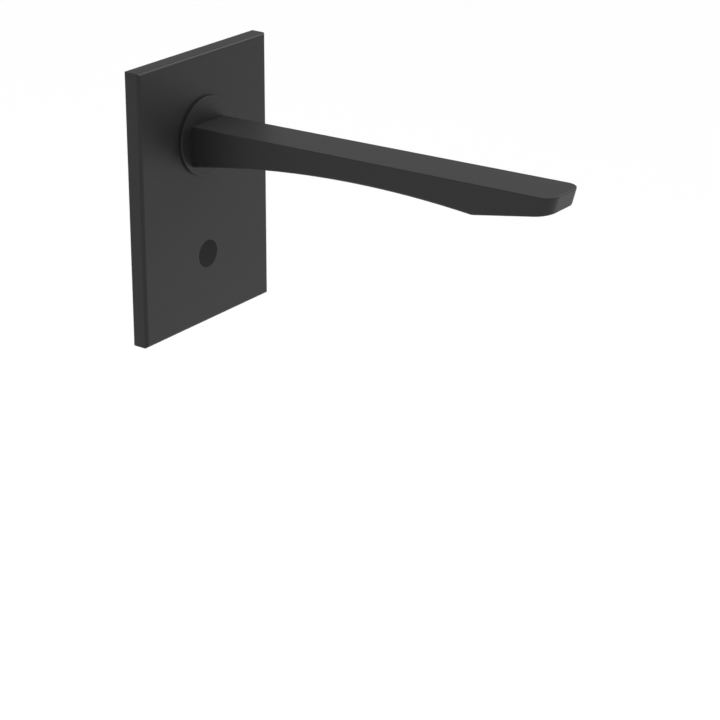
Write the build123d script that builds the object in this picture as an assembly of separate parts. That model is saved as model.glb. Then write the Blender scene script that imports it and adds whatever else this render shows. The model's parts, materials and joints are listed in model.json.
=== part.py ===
from build123d import *
import os
from math import cos, radians, sin, sqrt

# Touch-free wall-mounted basin tap, in millimetres.
# X runs along the cover plate, -Y points out of the wall to the user and +Z is up.
# The wall face is the plane Y = 0. The origin is on that plane, on the collar's axis.

# ---------------------------------------------------------------- driving dimensions
# Cover plate: a shallow tray of cast zinc that stands on the wall
plate_half_width = 60.0
plate_top = 52.0
plate_bottom = -122.0
plate_depth = 10.4
plate_front_wall = 2.8
plate_side_wall = 2.4
plate_edge_radius = 2.0

# Collar under the spout's root
collar_radius = 25.0
collar_height = 2.0
collar_edge_radius = 0.45
collar_seal_depth = 0.8
collar_seal_outer = 22.0
collar_seal_inner = 16.0

# Spout, seen from the side: a top that rises slightly, one long arch below, a flat facet
# for the outlet and an undercut end face. "Reach" is the distance out from the wall.
spout_reach = 268.2
spout_root_half_width = 15.3
spout_tip_half_width = 16.2
spout_root_top = 9.6
spout_top_rise = 0.026
arch_radius = 715.0
arch_crown_reach = 158.0
arch_crown_height = -1.7
facet_start_reach = 214.4
facet_angle = 10.6
end_face_angle = 14.5
tip_corner_radius = 8.5
spout_top_edge_radius = 0.6
spout_arch_edge_radius = 1.8
spout_facet_edge_radius = 0.8

# Waterway: a threaded nipple at the root and a liner tube that follows the spout
water_axis = -3.4
nipple_radius = 10.4
nipple_thread_radius = 8.3
nipple_front_reach = 27.0
nipple_rear = 19.0
nipple_bore_radius = 4.5
nipple_ring_depths = (7.0, 13.0)
nipple_ring_wire = 1.1
lock_nut_flats = 30.0
lock_nut_rear = -3.4
tube_radius = 3.9
tube_wall = 0.9
tube_route = ((27.2, -3.2), (110.0, 4.6), (223.0, 8.6))
tube_bend_radius = 160.0
port_radius = 2.2
port_height = 10.4

# Outlet cartridge, square to the facet, with a tilting ball inside
outlet_reach = 240.0
cartridge_radius = 8.25
cartridge_height = 7.0
cartridge_seal = 0.6
ball_radius = 6.0
ball_clearance = 0.15
ball_centre = 3.5
ball_half_height = 3.2
ball_bore_radius = 3.9
chamber_radius = 6.25
chamber_top = 11.4

# Sensor eye
sensor_height = -77.0
window_radius = 8.75
window_flange_radius = 10.6
sensor_half_width = 13.0
sensor_half_height = 15.0
sensor_front = -6.3
sensor_rear = 12.0
sensor_wall = 1.5
sensor_screw_offset = 17.8
sensor_cover_front = 10.5
board_front = 1.5
board_thickness = 1.2
board_half_width = 10.5
board_half_height = 12.5
diode_radius = 2.5
diode_spread = 4.5

# Carrier behind the plate, and its fixings
carrier_thickness = 2.0
carrier_half_width = 52.0
carrier_top = 45.0
carrier_bottom = -115.0
fixing_half_width = 44.0
fixing_half_height = 40.0
lower_fixing_height = -105.0
fixing_screw_radius = 2.1
fixing_neck_radius = 2.6
fixing_hole_radius = 2.65
fixing_head_radius = 4.0
fixing_screw_depth = 10.0
grub_half_spacing = 35.0
hook_half_spacing = 30.0
tab_front = -6.6

# Valve block behind the wall
block_front = 0.0
block_rear = 27.0
outlet_boss_radius = 14.0
solenoid_height = -44.0
solenoid_boss_radius = 15.0
stop_height = -22.5
stop_boss_radius = 8.5
ear_half_spacing = 15.0
ear_screw_radius = 1.88
servo_bore_radius = 11.0
servo_front = 14.0
servo_floor = 24.0
seat_top = 21.0
seat_radius = 5.2
seat_bore_radius = 4.0
passage_depth = 21.2
passage_radius = 2.5
cartridge_bore_radius = 8.5
cartridge_bore_front = 28.0
inlet_thread_front = 37.4
inlet_rear = 43.4
inlet_boss_radius = 11.0
inlet_thread_radius = 9.3

# Pilot valve: the plunger lifts first and the piston follows it
plunger_radius = 3.55
core_bore_radius = 3.6
core_tube_radius = 4.6
plunger_front = 1.0
plunger_travel = 2.4
piston_front = 18.2
piston_travel = 2.0
piston_radius = 10.93
coil_radius = 11.8
coil_front = -3.6
coil_rear = 10.5
yoke_sheet = 1.0
connector_side = 17.0

# Stop valve: a quarter-turn plug across the passage
plug_radius = 4.4
plug_stem_radius = 3.0
plug_rear = 25.0
plug_ring_depths = (8.0, 14.0)
stop_ring_radius = 6.2
stop_ring_depth = 4.0

# Check valve in the inlet
poppet_radius = 6.2
poppet_stem_radius = 1.2
poppet_rear = 33.38
poppet_thickness = 1.5
check_seat_front = 33.4
check_seat_rear = 35.6

# Battery compartment beside the valve
battery_case_low = (26.0, -5.5, -33.0)
battery_case_high = (49.0, 34.0, 7.0)
battery_wall = 1.6
cell_radius = 9.2
cell_heights = (-22.0, -4.0)
cell_front = -3.5
cell_rear = 31.5

# Cables behind the wall plane, as points of straight runs
cable_radius = 1.4
valve_cable_route = (
    (sensor_half_width, 6.0, -72.0),
    (24.0, 6.0, -72.0),
    (24.0, 6.0, -48.0),
    (connector_side, 6.0, -48.0),
)
valve_cable_bend = 4.5
battery_cable_route = (
    (37.5, 8.0, battery_case_low[2]),
    (37.5, 8.0, -84.0),
    (sensor_half_width, 8.0, -84.0),
)
battery_cable_bend = 14.0

plate_face = -plate_depth
plate_back = plate_face + plate_front_wall
collar_face = plate_face - collar_height

os.makedirs("parts", exist_ok=True)


# ---------------------------------------------------------------- small helpers
def rod(radius, y_front, y_rear, x=0.0, z=0.0):
    """Round bar along Y between two depths."""
    bar = Rot(90, 0, 0) * Cylinder(radius, y_rear - y_front)
    return Pos(x, (y_front + y_rear) / 2, z) * bar


def ring(outer, inner, y_front, y_rear, x=0.0, z=0.0):
    """Round tube along Y between two depths."""
    return rod(outer, y_front, y_rear, x, z) - rod(inner, y_front - 1, y_rear + 1, x, z)


def block(x_low, x_high, y_low, y_high, z_low, z_high):
    """Box given by its six faces."""
    size = Box(x_high - x_low, y_high - y_low, z_high - z_low)
    return Pos((x_low + x_high) / 2, (y_low + y_high) / 2, (z_low + z_high) / 2) * size


def panel(half_width, half_height, y_front, y_rear, z):
    """Box centred on X = 0 and on a height."""
    return block(-half_width, half_width, y_front, y_rear, z - half_height, z + half_height)


def o_ring(middle_radius, wire_radius, y, z):
    """O-ring on X = 0 whose axis is along Y."""
    return Pos(0, y, z) * Rot(90, 0, 0) * Torus(middle_radius, wire_radius)


def hexagon(across_flats, y_front, y_rear, z):
    """Hexagon bar along Y on X = 0."""
    bar = extrude(RegularPolygon(across_flats / 2, 6, major_radius=False), y_rear - y_front)
    return Pos(0, y_rear, z) * Rot(90, 0, 0) * bar


def coil_spring(radius, wire_radius, y_front, y_rear, turns, z):
    """Open coil spring along Y on X = 0, inside two depths."""
    length = y_rear - y_front - 2 * wire_radius
    path = Helix(length / turns, length, radius)
    wire = sweep(Plane(origin=path @ 0, z_dir=path % 0) * Circle(wire_radius), path)
    return Pos(0, y_rear - wire_radius, z) * Rot(90, 0, 0) * wire


def pan_screw(head_radius, shank_radius, length, x, seat, z):
    """Pan head screw driven towards +Y, its head in front of the seat, with a crossed slot."""
    head_height = head_radius * 0.6
    head = fillet(rod(head_radius, seat - head_height, seat, x, z).edges().sort_by(Axis.Y)[0], 0.6)
    body = head + rod(shank_radius, seat, seat + length, x, z)
    slot = Box(head_radius * 1.2, head_height, 0.8)
    slot += Box(0.8, head_height, head_radius * 1.2)
    return body - Pos(x, seat - head_height, z) * slot


def cable(points, radius, bend):
    """Round cable along straight runs joined by arcs."""
    path = FilletPolyline(*points, radius=bend)
    return sweep(Plane(origin=path @ 0, z_dir=path % 0) * Circle(radius), path)


def save(shape, name):
    export_step(shape, f"parts/{name}.step")


def save_group(shapes, name):
    """Identical pieces that share one node, as separate solids."""
    save(Compound(children=list(shapes)), name)


# ---------------------------------------------------------------- cover plate
def make_cover_plate():
    """Shallow tray with softened front edges, hooks at its top and screw holes below."""
    tray = block(-plate_half_width, plate_half_width, plate_face, 0, plate_bottom, plate_top)
    tray = fillet(tray.faces().sort_by(Axis.Y)[0].edges(), plate_edge_radius)
    inner_width = plate_half_width - plate_side_wall
    inner_top = plate_top - plate_side_wall
    inner_bottom = plate_bottom + plate_side_wall
    tray -= block(-inner_width, inner_width, plate_back, 1, inner_bottom, inner_top)
    for side in (-1, 1):
        hook = Box(10, tab_front - plate_back + 3.2, inner_top - carrier_top)
        hook_depth = (plate_back + tab_front + 3.2) / 2
        tray += Pos(side * hook_half_spacing, hook_depth, (inner_top + carrier_top) / 2) * hook
        tray -= Pos(side * grub_half_spacing, -4.5, plate_bottom) * Cylinder(2.0, 12)
        tray += rod(2.8, plate_back, -4.4, 0, sensor_height + side * sensor_screw_offset)
        tray -= rod(1.1, plate_back + 0.6, 0, 0, sensor_height + side * sensor_screw_offset)
    tray -= rod(nipple_radius + 0.6, plate_face - 1, plate_back + 1, 0, water_axis)
    tray -= rod(window_radius + 0.1, plate_face - 1, plate_back + 1, 0, sensor_height)
    return tray


# ---------------------------------------------------------------- collar, nipple and nut
def make_collar():
    """Flat round collar, recessed behind for its seal, with an offset hole for the nipple."""
    disc = rod(collar_radius, collar_face, plate_face)
    disc = fillet(disc.edges().sort_by(Axis.Y)[0], collar_edge_radius)
    disc -= ring(collar_seal_outer, collar_seal_inner, plate_face - collar_seal_depth, plate_face + 1)
    return disc - rod(nipple_radius + 0.2, collar_face - 1, plate_face + 1, 0, water_axis)


def make_nipple():
    """Brass nipple: a thin thread into the spout and a thick shank into the valve block."""
    shank = rod(nipple_radius, collar_face, nipple_rear, 0, water_axis)
    shank += rod(nipple_thread_radius, -nipple_front_reach, collar_face, 0, water_axis)
    for depth in nipple_ring_depths:
        groove_floor = nipple_radius - 2 * nipple_ring_wire
        shank -= ring(nipple_radius + 1, groove_floor, depth - 1.3, depth + 1.3, 0, water_axis)
    return shank - rod(nipple_bore_radius, -nipple_front_reach - 1, nipple_rear + 1, 0, water_axis)


# ---------------------------------------------------------------- spout outline
facet_rise = sin(radians(facet_angle)) / cos(radians(facet_angle))
undercut = sin(radians(end_face_angle)) / cos(radians(end_face_angle))
root_reach = -collar_face


def arch_height(reach):
    """Underside on its long arch, a circle whose crown is a little out from mid-length."""
    along = reach - arch_crown_reach
    return arch_crown_height - arch_radius + sqrt(arch_radius**2 - along**2)


def top_height(reach):
    return spout_root_top + spout_top_rise * (reach - root_reach)


def facet_height(reach):
    return arch_height(facet_start_reach) + facet_rise * (reach - facet_start_reach)


def make_spout_blank():
    """Side outline cut by the plan outline, then the tip corners and the long edges rounded."""
    tip_top = top_height(spout_reach)
    drop_to_facet = tip_top - facet_height(spout_reach)
    lip_reach = spout_reach - drop_to_facet * undercut / (1 - facet_rise * undercut)
    heel_reach = (root_reach + facet_start_reach) / 2
    side = [
        Line((-root_reach, top_height(root_reach)), (-spout_reach, tip_top)),
        Line((-spout_reach, tip_top), (-lip_reach, facet_height(lip_reach))),
        Line((-lip_reach, facet_height(lip_reach)), (-facet_start_reach, arch_height(facet_start_reach))),
        ThreePointArc(
            (-facet_start_reach, arch_height(facet_start_reach)),
            (-heel_reach, arch_height(heel_reach)),
            (-root_reach, arch_height(root_reach)),
        ),
        Line((-root_reach, arch_height(root_reach)), (-root_reach, top_height(root_reach))),
    ]
    plan = Polyline(
        (-spout_root_half_width, -root_reach),
        (spout_root_half_width, -root_reach),
        (spout_tip_half_width, -spout_reach),
        (-spout_tip_half_width, -spout_reach),
        close=True,
    )
    blank = extrude(Plane.YZ * make_face(Curve() + side), 20, both=True)
    blank = blank & extrude(make_face(plan), 40, both=True)
    corners = [e for e in blank.edges() if e.center().Y < -lip_reach and abs(e.center().X) > 10]
    blank = fillet(corners, tip_corner_radius)
    top = blank.faces().sort_by(Axis.Z)[-1]
    blank = fillet([e for e in top.edges() if e.center().Y < -root_reach - 1], spout_top_edge_radius)
    return blank


def round_lower_edges(blank):
    """Wide rounding along the arch, then a tight one round the facet and its corners."""
    under = [f for f in blank.faces() if f.normal_at(f.center()).Z < -0.8]
    arch = min(under, key=lambda f: -f.center().Y)
    sides = [e for e in arch.edges() if abs(e.center().X) > 1]
    blank = fillet(sides, spout_arch_edge_radius)
    under = [f for f in blank.faces() if f.normal_at(f.center()).Z < -0.8]
    facet = max(under, key=lambda f: -f.center().Y)
    rim = [e for e in facet.edges() if abs(e.center().X) > 1 or e.center().Y < -outlet_reach]
    return fillet([e for e in rim if e.length > 3], spout_facet_edge_radius)


# Frame of the outlet: its Z axis is square to the facet and points into the spout
outlet = Pos(0, -outlet_reach, facet_height(outlet_reach)) * Rot(-facet_angle, 0, 0)


def outlet_disc(radius, low, high):
    """Round bar about the outlet's axis, between two heights above the facet."""
    return outlet * Pos(0, 0, (low + high) / 2) * Cylinder(radius, high - low)


def tube_solid(radius):
    """Round solid along the waterway's route in the spout."""
    return cable([(0, -reach, height) for reach, height in tube_route], radius, tube_bend_radius)


def make_spout():
    body = round_lower_edges(make_spout_blank())
    body -= rod(nipple_thread_radius, -nipple_front_reach, collar_face + 1, 0, water_axis)
    body -= tube_solid(tube_radius + 0.1)
    body -= rod(port_radius, -outlet_reach - 1, -tube_route[-1][0] + 1, 0, port_height)
    body -= outlet_disc(cartridge_radius, -5, cartridge_height + cartridge_seal)
    body -= outlet_disc(chamber_radius, cartridge_height, chamber_top)
    return body


def make_liner():
    return tube_solid(tube_radius) - tube_solid(tube_radius - tube_wall)


# ---------------------------------------------------------------- outlet cartridge
def make_cartridge():
    """Threaded sleeve with a round seat for the ball and four notches for its key."""
    sleeve = outlet_disc(cartridge_radius - 0.05, 0, cartridge_height)
    sleeve -= outlet * Pos(0, 0, ball_centre) * Sphere(ball_radius + ball_clearance)
    for spot in PolarLocations(cartridge_radius - 0.9, 4, start_angle=45):
        sleeve -= outlet * spot * Pos(0, 0, 0.5) * Box(2.2, 1.6, 1.4)
    return sleeve


def make_ball():
    """Ball cut flat on both sides and bored through for the stream pieces."""
    ball = outlet * Pos(0, 0, ball_centre) * Sphere(ball_radius)
    ball &= outlet_disc(ball_radius + 1, ball_centre - ball_half_height, ball_centre + ball_half_height)
    return ball - outlet_disc(ball_bore_radius, -5, chamber_top)


def grid_disc(radius, low, high, hole, pitch, count):
    """Disc pierced by a square grid of holes that stays inside its rim."""
    disc = outlet_disc(radius, low, high)
    reach = radius - hole
    holes = [
        outlet * spot * Pos(0, 0, (low + high) / 2) * Box(hole, hole, high - low + 1)
        for spot in GridLocations(pitch, pitch, count, count)
        if spot.position.length < reach
    ]
    return disc - holes


def make_regulator():
    """Flow regulator: a disc with a centre pin and a ring of round holes."""
    disc = outlet_disc(ball_bore_radius - 0.02, 4.6, 5.8)
    disc += outlet_disc(0.8, 5.8, 6.6)
    holes = [
        outlet * spot * Pos(0, 0, 5.2) * Cylinder(0.55, 3)
        for spot in PolarLocations(2.4, 8)
    ]
    return disc - holes


def make_strainer():
    """Domed inlet screen, a thin frustum with a rim and a pierced top."""
    cone = Cone(5.6, 2.4, 2.2) - Pos(0, 0, -0.4) * Cone(5.6, 2.4, 2.2)
    screen = outlet * Pos(0, 0, 9.3) * cone
    screen += outlet_disc(chamber_radius - 0.05, 7.7, 8.2) - outlet_disc(5.1, 7, 9)
    for spot in PolarLocations(4.0, 10):
        screen -= outlet * spot * Pos(0, 0, 9.3) * Cylinder(0.4, 4)
    return screen


# ---------------------------------------------------------------- sensor eye
def make_window():
    """Dark window, flush with the plate, with a flange behind it."""
    window = rod(window_radius, plate_face, plate_back + 0.6, 0, sensor_height)
    return window + rod(window_flange_radius, plate_back + 0.5, sensor_front, 0, sensor_height)


def make_sensor_housing():
    """Box open behind, with a round front opening and two ears for its screws."""
    inner_width = sensor_half_width - sensor_wall
    inner_height = sensor_half_height - sensor_wall
    housing = panel(sensor_half_width, sensor_half_height, sensor_front, sensor_rear, sensor_height)
    housing = fillet(housing.edges().filter_by(Axis.Y), 1.2)
    housing += panel(4.0, sensor_screw_offset + 2.6, -4.4, -2.4, sensor_height)
    housing -= panel(inner_width, inner_height, sensor_front + 1.2, sensor_rear + 1, sensor_height)
    housing -= rod(8.4, sensor_front - 1, sensor_front + 2, 0, sensor_height)
    for side in (-1, 1):
        housing -= rod(1.3, -5, -2, 0, sensor_height + side * sensor_screw_offset)
    return housing


def sensor_screw(z):
    """Small screw driven forwards into a boss behind the cover plate."""
    return rod(2.2, -2.4, -0.9, 0, z) + rod(1.1, -6.6, -2.4, 0, z) - Pos(0, -0.9, z) * Box(3, 1, 0.5)


def make_board():
    """Circuit board with two small chips behind it."""
    back = board_front + board_thickness
    board = panel(board_half_width, board_half_height, board_front, back, sensor_height)
    board += block(-4, 4, back, back + 1.2, sensor_height + 4, sensor_height + 9)
    return board + block(-8, -3, back, back + 0.9, sensor_height - 9, sensor_height - 5)


def diode(x, y_front):
    """Infrared diode: a round body with a domed nose, standing on the board."""
    body = rod(diode_radius, y_front, board_front, x, sensor_height)
    return body + Pos(x, y_front, sensor_height) * Sphere(diode_radius)


# ---------------------------------------------------------------- carrier and fixings
def make_carrier():
    """Steel sheet with bent tabs that the cover plate hangs on and is clamped to."""
    half_height = (carrier_top - carrier_bottom) / 2
    middle = (carrier_top + carrier_bottom) / 2
    sheet = panel(carrier_half_width, half_height, -carrier_thickness, 0, middle)
    sheet = fillet(sheet.edges().filter_by(Axis.Y), 3)
    for side in (-1, 1):
        x = side * hook_half_spacing
        sheet += block(x - 7, x + 7, tab_front, -carrier_thickness + 1, carrier_top - 2, carrier_top)
        x = side * grub_half_spacing
        sheet += block(x - 6, x + 6, tab_front, -carrier_thickness + 1, carrier_bottom, carrier_bottom + 2)
        sheet -= rod(2.1, -5, 1, side * ear_half_spacing, stop_height)
        sheet -= rod(3.0, -5, 1, 0, sensor_height + side * sensor_screw_offset)
        for z in (fixing_half_height, -fixing_half_height, lower_fixing_height):
            sheet -= rod(fixing_hole_radius, -5, 1, side * fixing_half_width, z)
    sheet -= rod(nipple_radius + 0.8, -5, 1, 0, water_axis)
    sheet -= rod(stop_ring_radius - 0.8, -5, 1, 0, stop_height)
    sheet -= panel(13.4, 12.4, -5, 1, solenoid_height)
    sheet -= panel(sensor_half_width + 0.4, sensor_half_height + 0.4, -5, 1, sensor_height)
    low = battery_case_low
    high = battery_case_high
    return sheet - block(low[0] - 0.3, high[0] + 0.3, -5, 1, low[2] - 0.3, high[2] + 0.3)


def make_wall_gasket():
    """Foam frame between the wall and the rim of the cover plate."""
    middle = (plate_top + plate_bottom) / 2
    half_height = (plate_top - plate_bottom) / 2 - plate_side_wall - 0.4
    half_width = plate_half_width - plate_side_wall - 0.4
    frame = panel(half_width, half_height, -2, 0, middle)
    return frame - panel(half_width - 4, half_height - 4, -3, 1, middle)


def wall_screw(x, z):
    """Pan head screw with a plain neck in the carrier and its thread behind the wall plane."""
    length = fixing_screw_depth + carrier_thickness
    screw = pan_screw(fixing_head_radius, fixing_screw_radius, length, x, -carrier_thickness, z)
    return screw + rod(fixing_neck_radius, -carrier_thickness, 0, x, z)


def grub_screw(x):
    """Grub screw driven up through the plate's lower edge against the carrier's tab."""
    length = carrier_bottom - plate_bottom - 0.5
    body = Pos(x, -4.5, carrier_bottom - length / 2) * Cylinder(1.95, length)
    return body - Pos(x, -4.5, carrier_bottom - length) * extrude(RegularPolygon(1.0, 6), 2.5)


# ---------------------------------------------------------------- valve block
def make_valve_block():
    """Cast brass block: outlet socket above, stop plug between, servo valve and inlet below."""
    body = rod(outlet_boss_radius, block_front, block_rear, 0, water_axis)
    body += rod(solenoid_boss_radius, servo_front, 36, 0, solenoid_height)
    body += rod(inlet_boss_radius, 36, inlet_rear, 0, solenoid_height)
    body += rod(stop_boss_radius, block_front, block_rear, 0, stop_height)
    body += block(-9, 9, servo_front, block_rear, solenoid_height, water_axis)
    body += panel(ear_half_spacing, 3.5, 3, 10, stop_height)
    for side in (-1, 1):
        body += rod(4.5, block_front, 10, side * ear_half_spacing, stop_height)
    for side in (-1, 1):
        body -= rod(ear_screw_radius + 0.02, -1, 8, side * ear_half_spacing, stop_height)
    body -= rod(nipple_radius + 0.1, -1, servo_floor, 0, water_axis)
    top = water_axis
    bottom = solenoid_height + 7
    passage = Cylinder(passage_radius, top - bottom)
    body -= Pos(0, passage_depth, (top + bottom) / 2) * passage
    body -= rod(plug_radius + 0.05, stop_ring_depth, plug_rear + 0.5, 0, stop_height)
    body -= rod(stop_ring_radius, -1, stop_ring_depth, 0, stop_height)
    body -= ring(servo_bore_radius, seat_radius, seat_top, servo_floor, 0, solenoid_height)
    body -= rod(servo_bore_radius, servo_front - 1, seat_top, 0, solenoid_height)
    body -= rod(seat_bore_radius, servo_front, cartridge_bore_front + 1, 0, solenoid_height)
    body -= rod(cartridge_bore_radius, cartridge_bore_front, inlet_thread_front, 0, solenoid_height)
    return body - rod(inlet_thread_radius, inlet_thread_front, inlet_rear + 1, 0, solenoid_height)


def make_stop_plug():
    """Quarter-turn plug with a cross bore, two seal grooves and a screwdriver slot."""
    plug = rod(plug_radius, stop_ring_depth + 0.1, plug_rear, 0, stop_height)
    plug += rod(plug_stem_radius, -1.5, stop_ring_depth + 0.1, 0, stop_height)
    plug -= Pos(0, passage_depth, stop_height) * Cylinder(passage_radius, 20)
    for depth in plug_ring_depths:
        plug -= ring(plug_radius + 1, plug_radius - 1.2, depth - 0.7, depth + 0.7, 0, stop_height)
    return plug - Pos(0, -1.5, stop_height) * Box(1.2, 2.4, 10)


# ---------------------------------------------------------------- solenoid pilot valve
def make_bonnet():
    """Bonnet that closes the servo bore, with the thin core tube in front of it."""
    bonnet = rod(12.7, 11.6, servo_front, 0, solenoid_height)
    bonnet_rear = piston_front - piston_travel - 0.3
    bonnet += rod(servo_bore_radius - 0.1, servo_front, bonnet_rear, 0, solenoid_height)
    bonnet += rod(core_tube_radius, -6, servo_front, 0, solenoid_height)
    return bonnet - rod(core_bore_radius, -4.5, servo_floor, 0, solenoid_height)


def make_yoke():
    """Folded steel strap round the coil."""
    half = coil_radius + yoke_sheet
    strap = panel(half, 10, coil_front - yoke_sheet, coil_rear + yoke_sheet, solenoid_height)
    strap -= panel(coil_radius, 11, coil_front, coil_rear, solenoid_height)
    return strap - rod(core_tube_radius + 0.1, -10, 20, 0, solenoid_height)


def make_plunger():
    """Steel plunger with a spring bore in front and a flute along each side."""
    plunger = rod(plunger_radius, plunger_front, piston_front - 0.8, 0, solenoid_height)
    plunger -= rod(1.9, plunger_front - 1, plunger_front + 8, 0, solenoid_height)
    for side in (-1, 1):
        plunger -= Pos(side * plunger_radius, 10, solenoid_height) * Box(0.9, 40, 0.9)
    return plunger


def make_piston():
    """Servo piston with a pilot hole at its centre and a bleed hole near its rim."""
    piston = rod(piston_radius, piston_front, piston_front + 2.0, 0, solenoid_height)
    piston += rod(6.6, piston_front + 2.0, piston_front + 2.2, 0, solenoid_height)
    piston -= rod(0.6, piston_front - 1, seat_top, 0, solenoid_height)
    return piston - rod(0.4, piston_front - 1, seat_top, 8.5, solenoid_height)


# ---------------------------------------------------------------- inlet check valve
def make_check_guide():
    """Spider that guides the poppet's stem."""
    rear = cartridge_bore_front + 1.2
    guide = rod(cartridge_bore_radius - 0.02, cartridge_bore_front, rear, 0, solenoid_height)
    guide -= rod(poppet_stem_radius + 0.06, 20, 40, 0, solenoid_height)
    for spot in PolarLocations(5.2, 6):
        guide -= rod(1.8, 20, 40, spot.position.X, solenoid_height + spot.position.Y)
    return guide


def make_poppet():
    poppet = rod(poppet_radius, poppet_rear - poppet_thickness, poppet_rear, 0, solenoid_height)
    return poppet + rod(poppet_stem_radius, 27, poppet_rear - poppet_thickness, 0, solenoid_height)


def make_inlet_screen():
    """Flat filter washer with a pierced middle."""
    screen = rod(cartridge_bore_radius - 0.02, check_seat_rear, inlet_thread_front, 0, solenoid_height)
    for spot in GridLocations(2.2, 2.2, 7, 7):
        if spot.position.length < cartridge_bore_radius - 1.6:
            screen -= rod(0.75, 30, 40, spot.position.X, solenoid_height + spot.position.Y)
    return screen


# ---------------------------------------------------------------- battery compartment
def battery_block(inset, y_low, y_high):
    """Box that follows the battery compartment, shrunk on its four sides."""
    low = battery_case_low
    high = battery_case_high
    return block(low[0] + inset, high[0] - inset, y_low, y_high, low[2] + inset, high[2] - inset)


def make_battery_case():
    """Moulded case, open in front, with soft outer edges."""
    front = battery_case_low[1]
    rear = battery_case_high[1]
    case = battery_block(0, front, rear)
    case = fillet(case.edges().filter_by(Axis.Y), 2.5)
    case = fillet(case.faces().sort_by(Axis.Y)[-1].edges(), 1.2)
    return case - battery_block(battery_wall, front - 1, rear - battery_wall)


def make_battery():
    """Twin-cell lithium pack: two round cells in one moulded wrap."""
    x = (battery_case_low[0] + battery_case_high[0]) / 2
    pack = block(x - cell_radius, x + cell_radius, cell_front, cell_rear, *cell_heights)
    for z in cell_heights:
        pack += rod(cell_radius, cell_front, cell_rear, x, z)
    return pack


# ---------------------------------------------------------------- write every piece
save(make_cover_plate(), "cover_plate")
save(make_collar(), "spout_collar")
save(ring(collar_seal_outer, collar_seal_inner, plate_face - collar_seal_depth, plate_face), "collar_seal")
save(make_spout(), "spout_body")
save(make_liner(), "spout_water_tube")
save(make_nipple(), "spout_nipple")
save_group(
    [
        o_ring(nipple_radius - nipple_ring_wire, nipple_ring_wire, depth, water_axis)
        for depth in nipple_ring_depths
    ],
    "nipple_o_rings",
)
lock_nut = hexagon(lock_nut_flats, plate_back, lock_nut_rear, water_axis)
save(lock_nut - rod(nipple_radius, plate_back - 1, 0, 0, water_axis), "spout_lock_nut")

save(make_cartridge(), "aerator_cartridge")
seal_top = cartridge_height + cartridge_seal
save(
    outlet_disc(cartridge_radius - 0.05, cartridge_height, seal_top) - outlet_disc(6.4, 0, 9),
    "aerator_seal",
)
save(make_strainer(), "aerator_strainer")
save(make_ball(), "aerator_ball")
save(grid_disc(ball_bore_radius - 0.02, 0.5, 1.7, 0.8, 1.15, 7), "stream_grid")
save(make_regulator(), "flow_regulator")

save(make_window(), "sensor_window")
seal_bore = window_radius + 0.05
save(ring(window_flange_radius, seal_bore, plate_back, plate_back + 0.5, 0, sensor_height), "window_seal")
save(make_sensor_housing(), "sensor_housing")
cover_half_width = sensor_half_width - sensor_wall - 0.1
cover_half_height = sensor_half_height - sensor_wall - 0.1
save(
    panel(cover_half_width, cover_half_height, sensor_cover_front, sensor_rear, sensor_height),
    "sensor_rear_cover",
)
save(make_board(), "sensor_board")
save(diode(-diode_spread, -2.5), "infrared_emitter")
save(diode(diode_spread, -2.0), "infrared_receiver")
save(panel(0.6, 7.5, sensor_front + 0.1, board_front, sensor_height), "light_baffle")
save_group(
    [sensor_screw(sensor_height + side * sensor_screw_offset) for side in (-1, 1)],
    "sensor_screws",
)

save(make_carrier(), "mounting_carrier")
save(make_wall_gasket(), "wall_gasket")
save_group(
    [
        wall_screw(side * fixing_half_width, z)
        for side in (-1, 1)
        for z in (fixing_half_height, -fixing_half_height, lower_fixing_height)
    ],
    "wall_screws",
)
save_group([grub_screw(side * grub_half_spacing) for side in (-1, 1)], "plate_grub_screws")

save(make_valve_block(), "valve_block")
save_group(
    [
        pan_screw(3.4, ear_screw_radius, 9.0, side * ear_half_spacing, -carrier_thickness, stop_height)
        for side in (-1, 1)
    ],
    "valve_screws",
)
save(make_stop_plug(), "stop_plug")
save_group(
    [o_ring(plug_radius - 0.6, 0.58, depth, stop_height) for depth in plug_ring_depths],
    "stop_plug_seals",
)
stem_bore = plug_stem_radius + 0.06
save(ring(stop_ring_radius - 0.02, stem_bore, 0, stop_ring_depth, 0, stop_height), "stop_ring_nut")

save(make_bonnet(), "valve_bonnet")
save(
    ring(coil_radius, core_tube_radius + 0.05, coil_front, coil_rear, 0, solenoid_height),
    "solenoid_coil",
)
save(make_yoke(), "coil_yoke")
coil_nut = hexagon(12, -6.9, coil_front - yoke_sheet, solenoid_height)
save(coil_nut - rod(core_tube_radius, -6, 0, 0, solenoid_height), "coil_nut")
yoke_side = coil_radius + yoke_sheet
connector_low = solenoid_height - 8
save(block(yoke_side, connector_side, 2, 9, connector_low, solenoid_height), "coil_connector")
save(make_plunger(), "plunger")
save(rod(2.2, piston_front - 0.8, piston_front - 0.02, 0, solenoid_height), "plunger_tip")
stop_rear = plunger_front - plunger_travel - 0.3
save(rod(core_bore_radius - 0.01, -4.5, stop_rear, 0, solenoid_height), "core_stop")
save(coil_spring(1.4, 0.25, stop_rear, plunger_front + 8, 9, solenoid_height), "plunger_spring")
save(make_piston(), "servo_piston")
save(ring(6.6, 1.2, piston_front + 2.2, seat_top - 0.02, 0, solenoid_height), "piston_seal")

save(make_check_guide(), "check_guide")
seat_rim = cartridge_bore_radius - 0.02
save(ring(seat_rim, 4.6, check_seat_front, check_seat_rear, 0, solenoid_height), "check_seat")
save(make_poppet(), "check_poppet")
poppet_front = poppet_rear - poppet_thickness
save(coil_spring(2.6, 0.25, cartridge_bore_front + 1.2, poppet_front, 2.5, solenoid_height), "check_spring")
save(make_inlet_screen(), "inlet_screen")

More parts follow.
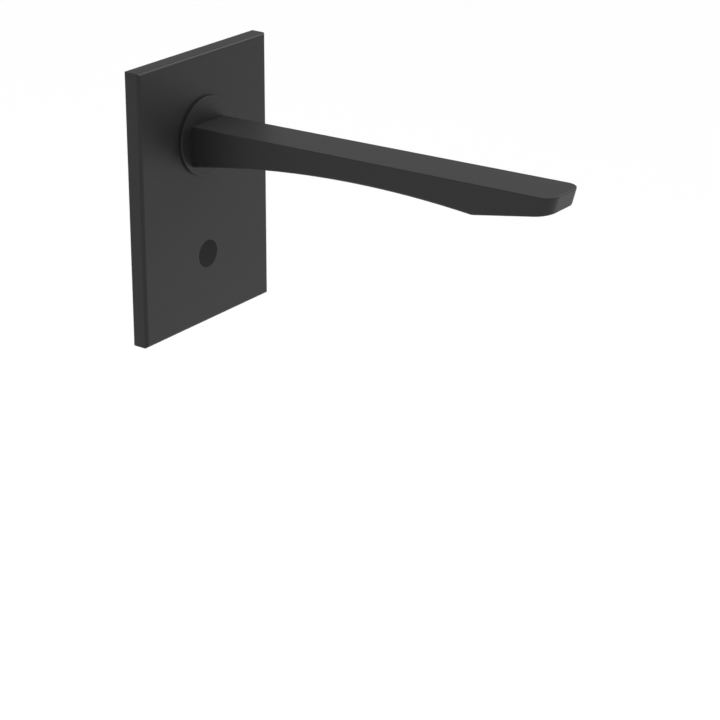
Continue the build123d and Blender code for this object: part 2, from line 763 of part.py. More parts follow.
case_front = battery_case_low[1]
save(make_battery_case(), "battery_case")
save(
    battery_block(-0.5, case_front - 1.1, case_front) + battery_block(battery_wall + 0.05, case_front, -4.0),
    "battery_cap",
)
save(make_battery(), "battery_pack")
save(cable(valve_cable_route, cable_radius, valve_cable_bend), "valve_cable")
save(cable(battery_cable_route, cable_radius, battery_cable_bend), "battery_cable")
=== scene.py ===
import json
import math

import bpy
import numpy as np
from mathutils import Matrix, Vector


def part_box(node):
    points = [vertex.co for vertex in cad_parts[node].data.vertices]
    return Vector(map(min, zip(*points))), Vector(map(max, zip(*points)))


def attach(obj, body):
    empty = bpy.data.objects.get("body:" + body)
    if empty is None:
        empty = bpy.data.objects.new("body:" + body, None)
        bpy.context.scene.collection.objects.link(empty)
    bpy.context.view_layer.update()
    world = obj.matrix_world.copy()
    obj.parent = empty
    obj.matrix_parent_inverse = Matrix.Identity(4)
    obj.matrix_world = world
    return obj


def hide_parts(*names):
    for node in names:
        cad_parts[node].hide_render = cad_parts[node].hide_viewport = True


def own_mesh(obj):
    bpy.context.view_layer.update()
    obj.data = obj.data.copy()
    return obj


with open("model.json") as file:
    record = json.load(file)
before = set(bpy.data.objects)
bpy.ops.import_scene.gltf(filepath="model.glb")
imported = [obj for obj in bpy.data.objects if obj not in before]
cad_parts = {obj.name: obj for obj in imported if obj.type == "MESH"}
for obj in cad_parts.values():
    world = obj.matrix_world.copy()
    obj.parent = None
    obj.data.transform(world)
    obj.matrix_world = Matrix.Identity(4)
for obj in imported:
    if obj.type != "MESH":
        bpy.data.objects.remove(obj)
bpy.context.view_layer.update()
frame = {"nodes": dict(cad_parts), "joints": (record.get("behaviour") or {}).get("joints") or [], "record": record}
nodes = frame["nodes"]


# ---------------------------------------------------------------- camera
# A long lens in front of the plate's left edge and above it, looking down at the tap.
# Heading is measured from +X towards +Y, and the view is not shifted.
CAMERA_PLACE = (-1.0073, -0.8581, 0.4108)
CAMERA_HEADING = 35.918
CAMERA_TILT = -23.084
CAMERA_ROLL = 0.411
CAMERA_LENS_MM = 111.69
CAMERA_SENSOR_MM = 36.0

camera = bpy.data.objects.new("camera", bpy.data.cameras.new("camera"))
camera.data.sensor_width = CAMERA_SENSOR_MM
camera.data.lens = CAMERA_LENS_MM
camera.data.clip_end = 100.0
camera.matrix_world = (
    Matrix.Translation(CAMERA_PLACE)
    @ Matrix.Rotation(math.radians(CAMERA_HEADING - 90), 4, "Z")
    @ Matrix.Rotation(math.radians(CAMERA_TILT + 90), 4, "X")
    @ Matrix.Rotation(math.radians(CAMERA_ROLL), 4, "Z")
)
bpy.context.collection.objects.link(camera)
bpy.context.scene.camera = camera


# ---------------------------------------------------------------- cover plate, collar and spout
# The plate is a shallow zinc casting; the collar and the spout are machined brass. All three
# are sprayed with the same satin black powder, which bakes to a fine, even orange peel.
class Value:
    """A shader socket for use in a Python expression: each operator adds a Math node."""

    def __init__(self, finish, socket):
        self.finish = finish
        self.socket = socket

    def maths(self, operation, first, second):
        return self.finish.node("ShaderNodeMath", {"operation": operation}, {0: first, 1: second})

    def __add__(self, other):
        return self.maths("ADD", self, other)

    def __radd__(self, other):
        return self.maths("ADD", other, self)

    def __sub__(self, other):
        return self.maths("SUBTRACT", self, other)

    def __rsub__(self, other):
        return self.maths("SUBTRACT", other, self)

    def __mul__(self, other):
        return self.maths("MULTIPLY", self, other)

    def __rmul__(self, other):
        return self.maths("MULTIPLY", other, self)

    def step(self, low, high):
        """0 below low, 1 above high, and a smooth rise between them."""
        limits = {"Value": self, "From Min": low, "From Max": high}
        return self.finish.node("ShaderNodeMapRange", {"interpolation_type": "SMOOTHSTEP"}, limits)


class Finish:
    """A node tree being written, with the few nodes that every finish uses."""

    def __init__(self, tree):
        self.tree = tree
        tree.nodes.clear()

    def node(self, kind, settings=None, inputs=None, output=0):
        """Adds a node, sets its settings, then its sockets' values or links; returns an output."""
        made = self.tree.nodes.new(kind)
        for name, value in (settings or {}).items():
            setattr(made, name, value)
        for name, value in (inputs or {}).items():
            if isinstance(value, Value):
                self.tree.links.new(value.socket, made.inputs[name])
            else:
                made.inputs[name].default_value = value
        return Value(self, made.outputs[output]) if made.outputs else None

    def place(self, size, stretch=(1.0, 1.0, 1.0)):
        """Object coordinates counted in steps of size metres, each axis multiplied by stretch."""
        metres = self.node("ShaderNodeTexCoord", output="Object")
        scale = tuple(amount / size for amount in stretch)
        return self.node("ShaderNodeMapping", inputs={"Vector": metres, "Scale": scale})

    def noise(self, size, detail=2.0, stretch=(1.0, 1.0, 1.0)):
        """Noise from 0 to 1 whose lumps are about size metres across."""
        where = self.place(size, stretch)
        return self.node("ShaderNodeTexNoise", inputs={"Vector": where, "Scale": 1.0, "Detail": detail})

    def cells(self, size):
        """Distance to the nearest of many scattered points, about size metres apart."""
        return self.node("ShaderNodeTexVoronoi", inputs={"Vector": self.place(size), "Scale": 1.0})

    def blend(self, factor, first, second):
        """Colour between two colours, which may themselves be blends."""
        mixed = self.tree.nodes.new("ShaderNodeMix")
        mixed.data_type = "RGBA"
        for index, value in ((0, factor), (6, first), (7, second)):
            if isinstance(value, Value):
                self.tree.links.new(value.socket, mixed.inputs[index])
            else:
                mixed.inputs[index].default_value = value
        return Value(self, mixed.outputs[2])

    def close(self, colour, roughness, height, depth, **plain):
        """Principled shader with a colour, a roughness and a bump whose height is depth metres."""
        normal = self.node("ShaderNodeBump", inputs={"Strength": 1.0, "Distance": depth, "Height": height})
        sockets = {"Base Color": colour, "Roughness": roughness, "Normal": normal}
        sockets.update({name.replace("_", " "): value for name, value in plain.items()})
        shader = self.node("ShaderNodeBsdfPrincipled", inputs=sockets)
        self.node("ShaderNodeOutputMaterial", inputs={"Surface": shader})


def open_finish(name):
    """New material, and the finish that writes its nodes."""
    material = bpy.data.materials.new(name)
    material.use_nodes = True
    return material, Finish(material.node_tree)


def rgb(red, green, blue):
    return (red, green, blue, 1.0)


def grey(level):
    return (level, level, level, 1.0)


def dress(slot, material):
    """Puts one material on the whole of each CAD node that the record gives this slot."""
    for part in frame["record"]["subparts"]:
        if part["material_slot"] == slot:
            mesh = nodes[part["node"]].data
            mesh.materials.clear()
            mesh.materials.append(material)


def powder_coat():
    """Satin black: cloudy colour, orange peel 1.6 mm across and a finer grain of powder on it."""
    material, finish = open_finish("satin_black_powder_coat")
    clouds = finish.noise(0.03, 3.0)
    peel = finish.noise(0.0016, 1.0)
    grain = finish.noise(0.00035, 2.0)
    colour = finish.blend(clouds, rgb(0.0112, 0.0112, 0.0114), rgb(0.0136, 0.0136, 0.0138))
    rough = 0.45 + clouds * 0.05 + grain * 0.04
    height = peel * 0.7 + grain * 0.3
    finish.close(colour, rough, height, 0.0000025, Specular_IOR_Level=0.31)
    return material


dress("black_coat", powder_coat())


# ---------------------------------------------------------------- waterway in the spout
# A thick brass nipple carries the spout and is drawn up behind the plate by its hexagon nut.
# A plastic liner takes the water from it to the outlet, so that none touches the casting.
def brass():
    """Cast and machined brass: golden where clean, browner in cloudy patches of tarnish."""
    material, finish = open_finish("dull_brass")
    patches = finish.noise(0.009, 5.0).step(0.46, 0.68)
    sand = finish.noise(0.0008, 4.0)
    colour = finish.blend(patches, rgb(0.60, 0.41, 0.17), rgb(0.34, 0.215, 0.095))
    colour = finish.blend(sand.step(0.3, 0.6), colour, rgb(0.50, 0.35, 0.16))
    rough = 0.30 + patches * 0.14 + sand * 0.14
    finish.close(colour, rough, sand, 0.00007, Metallic=1.0)
    return material


def tube_plastic():
    """Milky extruded tube with faint draw lines along its length."""
    material, finish = open_finish("milky_tube")
    lines = finish.noise(0.002, 2.0, (6.0, 0.4, 6.0))
    colour = finish.blend(lines, rgb(0.66, 0.67, 0.63), rgb(0.78, 0.79, 0.76))
    finish.close(colour, 0.34 + lines * 0.1, lines, 0.00001, Subsurface_Weight=0.2, Subsurface_Scale=0.002)
    return material


def rubber(name, level, roughness, pore, depth):
    """Rubber with a pale bloom in patches and a skin of pores of one size."""
    material, finish = open_finish(name)
    bloom = finish.noise(0.006, 4.0)
    pores = finish.cells(pore)
    colour = finish.blend(bloom, grey(level), grey(level * 1.9))
    finish.close(colour, roughness + bloom * 0.15, pores, depth, Specular_IOR_Level=0.35)
    return material


dull_brass = brass()
dress("brass_cast", dull_brass)
dress("hose_plastic", tube_plastic())
dress("seal_rubber", rubber("nitrile_rubber", 0.012, 0.5, 0.0004, 0.00001))


# ---------------------------------------------------------------- outlet
# A moulded cartridge is screwed flush into the underside of the spout's end. Its ball tilts
# by hand, and holds the stream grid and the flow regulator under a domed strainer.
def moulded(name, dark, light, roughness, grain_size, depth):
    """Moulded plastic: flow clouds in the colour, and the spark-eroded grain of the mould."""
    material, finish = open_finish(name)
    flow = finish.noise(0.012, 3.0, (1.0, 1.0, 0.5))
    grain = finish.noise(grain_size, 2.0)
    rough = roughness + flow * 0.06 + grain * 0.08
    finish.close(finish.blend(flow, dark, light), rough, grain, depth)
    return material


dark_nylon = moulded("dark_nylon", rgb(0.014, 0.014, 0.0155), rgb(0.027, 0.027, 0.029), 0.42, 0.0007, 0.00003)
dress("dark_plastic", dark_nylon)
grey_dark, grey_light = rgb(0.085, 0.087, 0.09), rgb(0.12, 0.122, 0.125)
white_dark, white_light = rgb(0.62, 0.62, 0.58), rgb(0.74, 0.74, 0.71)
dress("grey_plastic", moulded("grey_acetal", grey_dark, grey_light, 0.36, 0.0004, 0.00001))
dress("white_plastic", moulded("white_acetal", white_dark, white_light, 0.34, 0.0004, 0.00001))


# ---------------------------------------------------------------- sensor eye
# A round window of dark plastic that only infrared passes stands flush in the plate. Behind
# it a box holds the board with its two diodes, and is filled from behind with black resin.
def surface(rings, ends):
    """Points, quads and end fans that join each ring to the next, from an array rings x points x 3.

    Every ring closes on itself. The first and last rings are filled by fans to their middles, or
    with ends "joined" the last ring joins the first. A surface whose volume is negative is reversed.
    """
    count, around = rings.shape[:2]
    number = np.arange(count * around).reshape(count, around)
    following = np.roll(number, -1, axis=0) if ends == "joined" else number[1:]
    current = number if ends == "joined" else number[:-1]
    beside = np.roll(current, -1, axis=1)
    quads = np.stack([current, beside, np.roll(following, -1, axis=1), following], axis=-1)
    quads = quads.reshape(-1, 4)
    points = rings.reshape(-1, 3)
    fans = np.empty((0, 3), int)
    if ends == "closed":
        points = np.concatenate([points, [rings[0].mean(axis=0)], [rings[-1].mean(axis=0)]])
        middles = np.full((2, around), [[count * around], [count * around + 1]])
        first = np.stack([np.roll(number[0], -1), number[0], middles[0]], axis=-1)
        last = np.stack([number[-1], np.roll(number[-1], -1), middles[1]], axis=-1)
        fans = np.concatenate([first, last])
    corner = points[np.concatenate([quads[:, [0, 1, 2]], quads[:, [0, 2, 3]], fans])]
    volume = np.einsum("ij,ij->i", corner[:, 0], np.cross(corner[:, 1], corner[:, 2])).sum()
    turn = -1 if volume < 0 else 1
    return points, quads[:, ::turn], fans[:, ::turn]


def skin(name, *ring_sets, ends="closed"):
    """Object whose mesh holds one closed surface for each array of rings."""
    points = np.empty((0, 3))
    faces = []
    for rings in ring_sets:
        more, quads, fans = surface(rings, ends)
        faces += (quads + len(points)).tolist() + (fans + len(points)).tolist()
        points = np.concatenate([points, more])
    mesh = bpy.data.meshes.new(name)
    mesh.from_pydata(points.tolist(), [], faces)
    mesh.shade_smooth()
    piece = bpy.data.objects.new(name, mesh)
    bpy.context.collection.objects.link(piece)
    return piece


def turned(start, axis, along, radius, around=48):
    """Rings of a turned shape: start + axis * along + radius in the direction of each angle.

    Along and radius hold one value a ring, or one a ring and angle. The angles are even, and
    0 points along the first of two directions square to the axis.
    """
    axis = np.asarray(axis, float)
    first = np.cross(axis, (0, 0, 1) if abs(axis[2]) < 0.9 else (1, 0, 0))
    first /= np.linalg.norm(first)
    second = np.cross(axis, first)
    angle = np.linspace(0, 2 * np.pi, around, endpoint=False)
    outward = np.cos(angle)[:, None] * first + np.sin(angle)[:, None] * second
    along = np.broadcast_to(np.asarray(along, float).reshape(len(along), -1), (len(along), around))
    radius = np.broadcast_to(np.asarray(radius, float).reshape(len(radius), -1), (len(radius), around))
    return np.asarray(start) + along[..., None] * axis + radius[..., None] * outward


def finish_piece(piece, body, slot, material, *replaced):
    """Gives a new piece its body and material, and hides the CAD nodes it stands for. The slot is not used."""
    piece.data.materials.append(material)
    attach(piece, body)
    if replaced:
        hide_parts(*replaced)


def middle(low, high):
    return tuple((a + b) / 2 for a, b in zip(low, high))


def window_plastic():
    """Nearly black, smooth and faintly cloudy, with the slight sink of a moulded disc."""
    material, finish = open_finish("infrared_window")
    clouds = finish.noise(0.01, 2.0)
    haze = finish.noise(0.0006, 2.0)
    colour = finish.blend(clouds, rgb(0.0022, 0.0020, 0.0024), rgb(0.0036, 0.0030, 0.0036))
    finish.close(colour, 0.16 + haze * 0.05, clouds, 0.000002, Specular_IOR_Level=0.075)
    return material


def clear_epoxy():
    """Clear lens of a diode, with a faint smoky tint and a soft flow pattern."""
    material, finish = open_finish("smoky_epoxy")
    flow = finish.noise(0.002, 2.0)
    colour = finish.blend(flow, rgb(0.34, 0.37, 0.42), rgb(0.48, 0.52, 0.57))
    finish.close(colour, 0.06 + flow * 0.04, flow, 0.000004, Transmission_Weight=0.7, IOR=1.52)
    return material


def board_resist():
    """Green solder resist over copper tracks, which show as slightly raised paler stripes."""
    material, finish = open_finish("green_solder_resist")
    tracks = finish.noise(0.0016, 0.0, (0.25, 1.0, 1.0)).step(0.50, 0.56)
    weave = finish.noise(0.0005, 2.0)
    colour = finish.blend(tracks, rgb(0.010, 0.085, 0.038), rgb(0.022, 0.150, 0.070))
    finish.close(colour, 0.24 + weave * 0.12, tracks + weave * 0.2, 0.00003)
    return material


def potting_resin():
    """Black casting resin, glossy where it crept up the walls and duller in the middle."""
    material, finish = open_finish("black_potting_resin")
    creep = finish.noise(0.005, 3.0)
    dust = finish.noise(0.0004, 3.0)
    colour = finish.blend(dust, rgb(0.010, 0.010, 0.012), rgb(0.020, 0.020, 0.023))
    finish.close(colour, 0.18 + creep * 0.22 + dust * 0.06, creep, 0.00006)
    return material


resin = potting_resin()
dress("window_plastic", window_plastic())
dress("clear_plastic", clear_epoxy())
dress("board_green", board_resist())
dress("coil_resin", resin)

# The resin's surface: rounded rectangles that shrink to the middle of the opening, highest at
# the wall, where the resin creeps up, and sunk by RESIN_SINK in the middle.
RESIN_SINK = 0.0007
CORNER_POWER = 8.0
low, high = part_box("sensor_rear_cover")
angle = np.linspace(0, 2 * np.pi, 96, endpoint=False)
power_sum = np.abs(np.cos(angle)) ** CORNER_POWER + np.abs(np.sin(angle)) ** CORNER_POWER
squareness = power_sum ** (-1 / CORNER_POWER)
share = np.concatenate([[0.05, 1.0], np.linspace(1.0, 0.05, 20)])
sink = RESIN_SINK * np.sqrt(1 - np.clip(share[2:], 0, 1) ** 4)
depth = np.concatenate([[low[1], low[1]], high[1] - sink])
centre = middle(low, high)
wide = (high[0] - low[0]) / 2 * share[:, None] * np.cos(angle) * squareness
tall = (high[2] - low[2]) / 2 * share[:, None] * np.sin(angle) * squareness
rings = np.stack([centre[0] + wide, depth[:, None] + 0 * wide, centre[2] + tall], axis=-1)
potting = skin("sensor_potting", rings)
finish_piece(potting, "fixed_tap", "dark_plastic", resin, "sensor_rear_cover")


# ---------------------------------------------------------------- carrier and fixings
# A zinc-plated steel sheet is screwed to the wall box by six pan head screws. The plate hooks
# over its top tabs and is held below by two grub screws; foam seals its rim to the wall.
def zinc_plate():
    """Bluish zinc on rolled sheet: faint spangle, rolling lines along Z and small scuffs."""
    material, finish = open_finish("zinc_plated_sheet")
    spangle = finish.cells(0.004)
    rolling = finish.noise(0.0012, 3.0, (4.0, 4.0, 0.12))
    scuffs = finish.noise(0.006, 6.0, (1.0, 1.0, 0.6)).step(0.52, 0.80)
    colour = finish.blend(spangle, rgb(0.47, 0.50, 0.54), rgb(0.60, 0.62, 0.64))
    colour = finish.blend(scuffs, colour, rgb(0.46, 0.47, 0.49))
    rough = 0.27 + spangle * 0.10 + scuffs * 0.10 + rolling * 0.08
    finish.close(colour, rough, rolling + spangle * 0.3, 0.000012, Metallic=1.0)
    return material


def turned_steel(name, level, roughness):
    """Bright turned steel with fine tool rings square to Y and a little fingerprint haze."""
    material, finish = open_finish(name)
    tool = finish.noise(0.0006, 2.0, (0.2, 6.0, 0.2))
    haze = finish.noise(0.004, 4.0)
    colour = finish.blend(haze, grey(level), grey(level * 0.82))
    finish.close(colour, roughness + tool * 0.12 + haze * 0.08, tool, 0.000012, Metallic=1.0)
    return material


zinc = zinc_plate()
bright_steel = turned_steel("turned_steel", 0.62, 0.20)
dress("steel_zinc", zinc)
dress("steel_bright", bright_steel)
dress("foam_rubber", rubber("closed_cell_foam", 0.022, 0.75, 0.0009, 0.00025))

# Wall screws: the ring radii follow the CAD screw, with a rolled thread cut into the shank.
# Thread: radius = root + height of a V that moves once round for each pitch along the axis.
SCREW_PITCH = 0.0007
THREAD_DEPTH = 0.00036
SCREW_RADIUS = 0.0021
NECK_RADIUS = 0.0026
HEAD_RADIUS = 0.0040
RINGS_A_PITCH = 8
RECESS_HALF_WIDTH = 0.00042
RECESS_REACH = 0.0022
RECESS_DEPTH = 0.0013


def vee(along, pitch, around):
    """Height from 0 to 1 of a V-shaped thread at each place along and each angle."""
    turn = along[:, None] / pitch - np.arange(around) / around
    return 1 - np.abs(2 * (turn % 1.0) - 1)


def wall_screw(x, z, head_front, seat, end, around=32):
    """Rings of one screw: domed head with a cross recess, plain neck, then the thread."""
    swing = np.linspace(0.04, np.pi / 2, 14)
    dome_radius = HEAD_RADIUS * np.sin(swing)
    dome = head_front + (seat - head_front) * 0.55 * (1 - np.cos(swing))
    angle = np.linspace(0, 2 * np.pi, around, endpoint=False)
    across = dome_radius[:, None] * np.abs(np.cos(angle))
    up = dome_radius[:, None] * np.abs(np.sin(angle))
    inside = (np.minimum(across, up) < RECESS_HALF_WIDTH) & (np.maximum(across, up) < RECESS_REACH)
    dome = dome[:, None] + RECESS_DEPTH * inside
    start = (seat + np.array([0.0, 0.0, -seat, -seat]))[:, None] + np.zeros(around)
    start_radius = np.array([HEAD_RADIUS, NECK_RADIUS, NECK_RADIUS, SCREW_RADIUS])[:, None] + np.zeros(around)
    shank = np.linspace(0.0, end, int(end / SCREW_PITCH * RINGS_A_PITCH))
    fade = np.clip(np.minimum(shank, end - shank) / SCREW_PITCH, 0, 1)[:, None]
    point = np.clip((end - shank) / (2 * SCREW_PITCH), 0, 1)[:, None]
    shank_radius = SCREW_RADIUS - THREAD_DEPTH * (1 - vee(shank, SCREW_PITCH, around) * fade)
    shank_radius = shank_radius * (0.72 + 0.28 * np.sqrt(point))
    along = np.concatenate([dome, start, shank[:, None] + np.zeros(around)])
    radius = np.concatenate([dome_radius[:, None] + np.zeros(around), start_radius, shank_radius])
    return turned((x, 0, z), (0, 1, 0), along, radius, around)


low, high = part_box("wall_screws")
screw_x = (high[0] - low[0]) / 2 - HEAD_RADIUS
top_row = high[2] - HEAD_RADIUS
bottom_row = low[2] + HEAD_RADIUS
SEAT = -0.002
screws = [
    wall_screw(side * screw_x, row, low[1], SEAT, high[1])
    for side in (-1, 1)
    for row in (top_row, -top_row, bottom_row)
]
threaded = skin("threaded_wall_screws", *screws)
finish_piece(threaded, "fixed_tap", "steel_bright", bright_steel, "wall_screws")


# ---------------------------------------------------------------- valve block and its inlet
# A brass casting: the outlet socket above, the servo valve and the threaded inlet below. The
# supply screws into the inlet, whose thread is cut after casting.
INLET_PITCH = 0.00181
INLET_THREAD_DEPTH = 0.0006
INLET_RADIUS = 0.0093
INLET_LENGTH = 0.006
ROOT_LAP = 0.0001


def inlet_thread(around=72):
    """Rings of a sleeve: an outer wall let into the bore, and an inner one with a V thread."""
    block_low, block_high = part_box("valve_block")
    rear = block_high[1] - ROOT_LAP
    front = block_high[1] - INLET_LENGTH + ROOT_LAP
    along = np.linspace(rear, front, 48)
    fade = np.clip(np.minimum(along - front, rear - along) / (INLET_PITCH / 2), 0, 1)[:, None]
    bore = INLET_RADIUS - INLET_THREAD_DEPTH * vee(along, INLET_PITCH, around) * fade
    outer = np.full((2, around), INLET_RADIUS + ROOT_LAP)
    centre_low, centre_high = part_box("check_seat")
    height = (centre_low[2] + centre_high[2]) / 2
    lengths = np.concatenate([[front, rear], along])
    return turned((0, 0, height), (0, 1, 0), lengths, np.concatenate([outer, bore]), around)


thread = skin("inlet_thread", inlet_thread(), ends="joined")
finish_piece(thread, "fixed_tap", "brass_cast", dull_brass)


# ---------------------------------------------------------------- springs
# Drawn stainless wire. One spring holds the plunger on the pilot hole, and a softer one holds
# the poppet on its seat; both are closed at their ends and stay at the length of the CAD springs.
WIRE_RADIUS = 0.00025
CLOSED_SHARE = 0.14
RINGS_A_TURN = 40
POINTS_A_RING = 12
spring_wire = turned_steel("drawn_spring_wire", 0.55, 0.24)


def spring(name, node, turns, joint):
    """Helix about Y whose two ends lie flat, with the wire's circle carried square to its line.

    The line is (r cos t, y, r sin t), where y stays level over CLOSED_SHARE of it at each end.
    """
    low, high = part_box(node)
    radius = (high[0] - low[0]) / 2 - WIRE_RADIUS
    centre_z = (low[2] + high[2]) / 2
    share = np.linspace(0, 1, int(turns * RINGS_A_TURN))
    climb = np.clip((share - CLOSED_SHARE) / (1 - 2 * CLOSED_SHARE), 0, 1)
    y = low[1] + WIRE_RADIUS + (high[1] - low[1] - 2 * WIRE_RADIUS) * climb
    turn = 2 * np.pi * turns * share
    outward = np.stack([np.cos(turn), 0 * turn, np.sin(turn)], axis=-1)
    line = radius * outward + np.stack([0 * y, y, 0 * y + centre_z], axis=-1)
    tangent = np.gradient(line, axis=0)
    tangent /= np.linalg.norm(tangent, axis=1)[:, None]
    across = np.cross(tangent, outward)
    angle = np.linspace(0, 2 * np.pi, POINTS_A_RING, endpoint=False)[None, :, None]
    circle = np.cos(angle) * outward[:, None] + np.sin(angle) * across[:, None]
    rings = line[:, None] + WIRE_RADIUS * circle
    piece = skin(name, rings)
    finish_piece(piece, "fixed_tap", "spring_steel", spring_wire, node)
    travel = max(next(row for row in frame["joints"] if row["name"] == joint)["range_m"])
    keep = 1 - travel / (high[1] - low[1])
    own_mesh(piece)


spring("pilot_spring", "plunger_spring", 9, "plunger_lift")
spring("poppet_spring", "check_spring", 3.5, "non_return_lift")


# ---------------------------------------------------------------- solenoid coil
# Enamelled copper is wound in close turns on a bobbin and wrapped with dark tape; a folded
# steel strap holds it on the pilot valve's tube.
COIL_FLANGE = 0.0011
WINDING_SINK = 0.0006
WIRE_PITCH = 0.00042
WIRE_BULGE = 0.00008
WOUND_TURNS = 26
RINGS_A_WIRE = 6
CORE_BORE = 0.00465
low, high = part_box("solenoid_coil")
coil_radius = (high[0] - low[0]) / 2
wound = np.linspace(low[1] + COIL_FLANGE, high[1] - COIL_FLANGE, WOUND_TURNS * RINGS_A_WIRE)
wire = np.abs(np.sin(np.pi * (wound - wound[0]) / WIRE_PITCH))
profile = [(low[1], CORE_BORE), (low[1], coil_radius), (wound[0], coil_radius)]
profile += list(zip(wound, coil_radius - WINDING_SINK + WIRE_BULGE * wire))
profile += [(wound[-1], coil_radius), (high[1], coil_radius), (high[1], CORE_BORE)]
along, radius = np.array(profile).T
coil_height = (low[2] + high[2]) / 2
coil = skin("wound_coil", turned((0, 0, coil_height), (0, 1, 0), along, radius, 64), ends="joined")
finish_piece(coil, "fixed_tap", "coil_resin", resin, "solenoid_coil")


# ---------------------------------------------------------------- battery case and cables
# A moulded case beside the valve holds the lithium pack. Two short round cables run from the
# case and from the solenoid to the sensor, each through a ribbed boot.
def shrink_wrap():
    """Dark blue-grey film drawn tight round the cells, with fine creases across it."""
    material, finish = open_finish("shrink_wrap")
    crease = finish.noise(0.004, 5.0, (1.0, 0.3, 1.0))
    colour = finish.blend(crease, rgb(0.014, 0.020, 0.030), rgb(0.024, 0.031, 0.043))
    finish.close(colour, 0.2 + crease * 0.2, crease, 0.00006, Coat_Weight=0.3)
    return material


dress("battery_wrap", shrink_wrap())
cable_sheath = rubber("cable_sheath", 0.016, 0.42, 0.0005, 0.00001)
dress("cable_sheath", cable_sheath)

# Ribs on the case's back: height = a row of rounded waves across, fading out at both ends.
RIB_COUNT = 7
RIB_HEIGHT = 0.0006
RIB_MARGIN = 0.003
RIB_FOOT_LAP = 0.0002
low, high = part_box("battery_case")
across = np.linspace(0, 1, RIB_COUNT * 16 + 1)
upward = np.linspace(0, 1, 40)
wave = np.sqrt(np.abs(np.sin(np.pi * RIB_COUNT * across)))
fade = np.sqrt(np.clip(1 - np.abs(2 * upward - 1) ** 12, 0, 1))
rise = high[1] + RIB_HEIGHT * fade[:, None] * wave[None, :]
x = low[0] + RIB_MARGIN + (high[0] - low[0] - 2 * RIB_MARGIN) * across
z = low[2] + RIB_MARGIN + (high[2] - low[2] - 2 * RIB_MARGIN) * upward
crest = np.stack([x[None, :] + 0 * rise, rise, z[:, None] + 0 * rise], axis=-1)
foot = crest[:, ::-1].copy()
foot[..., 1] = high[1] - RIB_FOOT_LAP
ribs = skin("battery_case_ribs", np.concatenate([crest, foot], axis=1))
finish_piece(ribs, "fixed_tap", "dark_plastic", dark_nylon)

# Cable boots: radius falls from the foot to the tip, with raised ribs and a collar at the foot.
BOOT_RIBS = 4
BOOT_FOOT = 0.0027
BOOT_TIP = 0.0017
BOOT_RIB_HEIGHT = 0.0003
BOOT_COLLAR_HEIGHT = 0.0006
BOOT_COLLAR_SHARE = 0.12


def boot(name, start, axis, length):
    """Ribbed boot whose radius is a straight taper plus the positive half of a wave."""
    share = np.linspace(0, 1, 60)
    ribs = BOOT_RIB_HEIGHT * np.clip(np.sin(2 * np.pi * BOOT_RIBS * share), 0, 1)
    collar = BOOT_COLLAR_HEIGHT * (share < BOOT_COLLAR_SHARE)
    radius = BOOT_FOOT + (BOOT_TIP - BOOT_FOOT) * share + ribs + collar
    share = np.concatenate([share, [1.0]])
    radius = np.concatenate([radius, [BOOT_TIP * 0.85]])
    piece = skin(name, turned(start, axis, share * length, radius, 32))
    finish_piece(piece, "fixed_tap", "cable_sheath", cable_sheath)


cable_low, cable_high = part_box("valve_cable")
lead_low, lead_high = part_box("battery_cable")
CABLE_RADIUS = 0.0014
valve_depth = (cable_low[1] + cable_high[1]) / 2
lead_depth = (lead_low[1] + lead_high[1]) / 2
sensor_side = cable_low[0]
connector_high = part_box("coil_connector")[1]
boot("valve_cable_boot", (sensor_side, valve_depth, cable_low[2] + CABLE_RADIUS), (1, 0, 0), 0.0055)
boot("connector_boot", (connector_high[0], valve_depth, cable_high[2] - CABLE_RADIUS), (1, 0, 0), 0.0028)
boot("battery_cable_boot", (lead_high[0] - CABLE_RADIUS, lead_depth, lead_high[2]), (0, 0, -1), 0.0075)
boot("sensor_lead_boot", (lead_low[0], lead_depth, lead_low[2] + CABLE_RADIUS), (1, 0, 0), 0.0075)


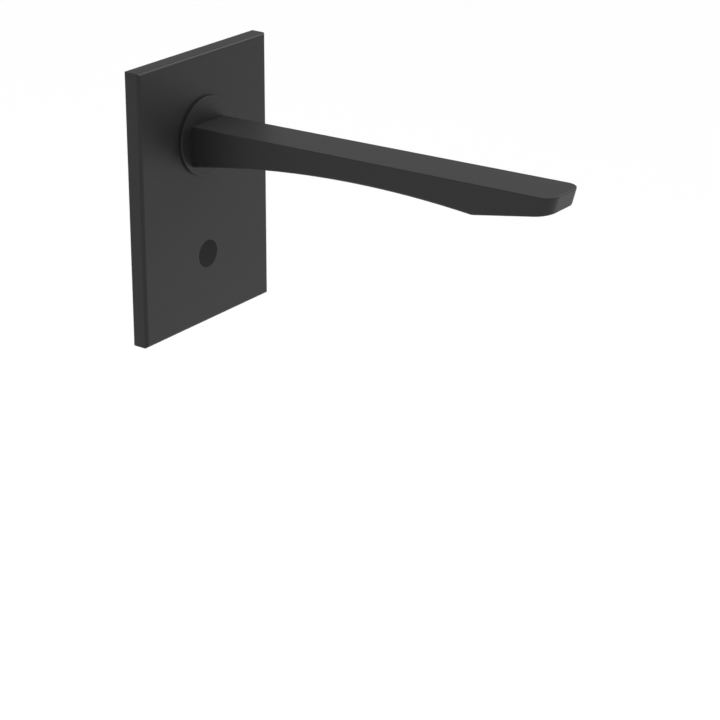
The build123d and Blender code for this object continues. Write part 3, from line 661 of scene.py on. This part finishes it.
# ---------------------------------------------------------------- studio
# A pale floor far below, a sky that is brightest at the horizon, and a broad light above.
FLOOR_DROP = 1.3
FLOOR_REACH = 30.0
corners = np.array([(-1, -1), (1, -1), (1, 1), (-1, 1)]) * FLOOR_REACH
floor_mesh = bpy.data.meshes.new("floor")
floor_mesh.from_pydata([(x, y, -FLOOR_DROP) for x, y in corners], [], [(0, 1, 2, 3)])
floor = bpy.data.objects.new("floor", floor_mesh)
bpy.context.collection.objects.link(floor)
pale, finish = open_finish("pale_floor")
finish.close(grey(0.92), 0.9, finish.noise(0.5), 0.0)
floor_mesh.materials.append(pale)

SKY_SIDE = 1.0
SKY_UPPER = 0.37
world = bpy.data.worlds.new("studio")
bpy.context.scene.world = world
world.use_nodes = True
sky = Finish(world.node_tree)
direction = sky.node("ShaderNodeTexCoord", output="Generated")
upward = sky.node("ShaderNodeSeparateXYZ", inputs={"Vector": direction}, output="Z")
tone = sky.blend(upward.step(0.06, 0.26), grey(SKY_SIDE), grey(SKY_UPPER))
background = sky.node("ShaderNodeBackground", inputs={"Color": tone, "Strength": 1.0})
sky.node("ShaderNodeOutputWorld", inputs={"Surface": background})

overhead = bpy.data.objects.new("overhead", bpy.data.lights.new("overhead", "SUN"))
overhead.data.energy = 2.2
overhead.data.angle = math.radians(80)
bpy.context.collection.objects.link(overhead)


def softbox(name, target, direction, distance, size, watts):
    """Square soft light that faces a target point from a direction and a distance."""
    light = bpy.data.lights.new(name, "AREA")
    light.size = size
    light.energy = watts
    lamp = bpy.data.objects.new(name, light)
    outward = Vector(direction).normalized()
    lamp.matrix_world = Matrix.Translation(Vector(target) + outward * distance) @ (
        outward.to_track_quat("Z", "Y").to_matrix().to_4x4()
    )
    lamp.visible_camera = False
    bpy.context.collection.objects.link(lamp)


tip_low, tip_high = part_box("spout_body")
tip = (0.0, tip_low[1], (tip_low[2] + tip_high[2]) / 2)
softbox("upper_right", (0.0, 0.0, 0.0), (0.71, -0.31, 0.63), 1.5, 0.6, 9.0)
softbox("lower_right", tip, (0.713, -0.401, -0.578), 1.3, 0.5, 0.6)
bpy.context.scene.view_settings.view_transform = "Standard"
